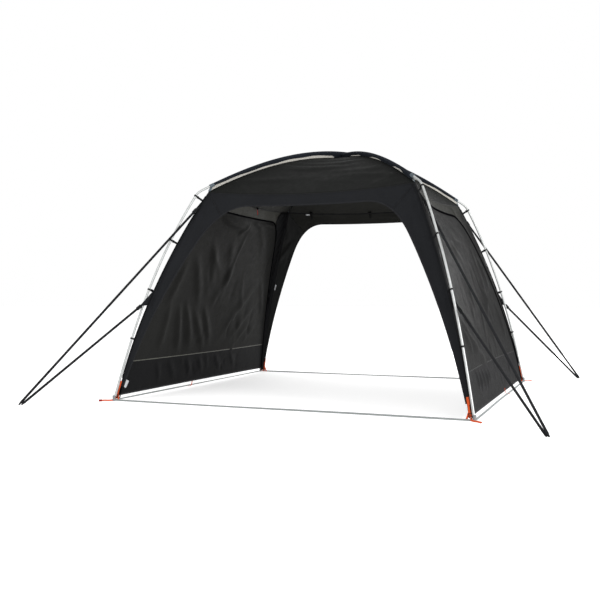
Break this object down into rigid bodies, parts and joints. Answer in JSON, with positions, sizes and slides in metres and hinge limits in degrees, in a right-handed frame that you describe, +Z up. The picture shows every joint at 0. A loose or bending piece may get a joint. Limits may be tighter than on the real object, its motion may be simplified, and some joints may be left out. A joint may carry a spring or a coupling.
{
  "type": "camp shelter",
  "caption": "Square event shelter on crossed diagonal poles, with a domed cloth roof, arched open sides, zip-in side walls and webbing guys.",
  "frame": {"origin": "on the ground in the middle of the base square", "axes": "+Z up, the open front faces -Y, the side walls are on -X and +X"},
  "size_m": [4.1082, 4.1082, 2.238],
  "materials": {
    "roof_cloth": "matte coated polyester",
    "wall_cloth": "matte coated polyester",
    "sleeve_cloth": "matte woven polyester",
    "steel": "satin galvanised tube",
    "cap_plastic": "moulded end cap",
    "black_webbing": "woven webbing",
    "pale_webbing": "woven webbing",
    "orange_webbing": "woven webbing"
  },
  "bodies": {
    "root": {"foot_front_left": "cap_plastic", "leg_front_left": "steel", "foot_front_right": "cap_plastic", "leg_front_right": "steel", "foot_rear_right": "cap_plastic", "leg_rear_right": "steel", "foot_rear_left": "cap_plastic", "leg_rear_left": "steel", "roof_pole_upper": "steel", "roof_pole_lower": "steel", "roof_front": "roof_cloth", "header_front": "roof_cloth", "leg_panel_front_left": "roof_cloth", "leg_panel_front_right": "roof_cloth", "ground_strap_front": "pale_webbing", "roof_right": "roof_cloth", "header_right": "roof_cloth", "leg_panel_right_left": "roof_cloth", "leg_panel_right_right": "roof_cloth", "ground_strap_right": "pale_webbing", "roof_rear": "roof_cloth", "header_rear": "roof_cloth", "leg_panel_rear_left": "roof_cloth", "leg_panel_rear_right": "roof_cloth", "ground_strap_rear": "pale_webbing", "roof_left": "roof_cloth", "header_left": "roof_cloth", "leg_panel_left_left": "roof_cloth", "leg_panel_left_right": "roof_cloth", "ground_strap_left": "pale_webbing", "wall_left": "wall_cloth", "hem_loop_left": "orange_webbing", "wall_right": "wall_cloth", "hem_loop_right": "orange_webbing", "sleeve_front_left": "sleeve_cloth", "corner_tape_front_left": "black_webbing", "guy_upper_front_left": "black_webbing", "guy_lower_front_left": "black_webbing", "foot_strap_front_left": "orange_webbing", "sleeve_front_right": "sleeve_cloth", "corner_tape_front_right": "black_webbing", "guy_upper_front_right": "black_webbing", "guy_lower_front_right": "black_webbing", "foot_strap_front_right": "orange_webbing", "sleeve_rear_right": "sleeve_cloth", "corner_tape_rear_right": "black_webbing", "guy_upper_rear_right": "black_webbing", "guy_lower_rear_right": "black_webbing", "foot_strap_rear_right": "orange_webbing", "sleeve_rear_left": "sleeve_cloth", "corner_tape_rear_left": "black_webbing", "guy_upper_rear_left": "black_webbing", "guy_lower_rear_left": "black_webbing", "foot_strap_rear_left": "orange_webbing", "crown_patch": "black_webbing"}
  },
  "joints": []
}
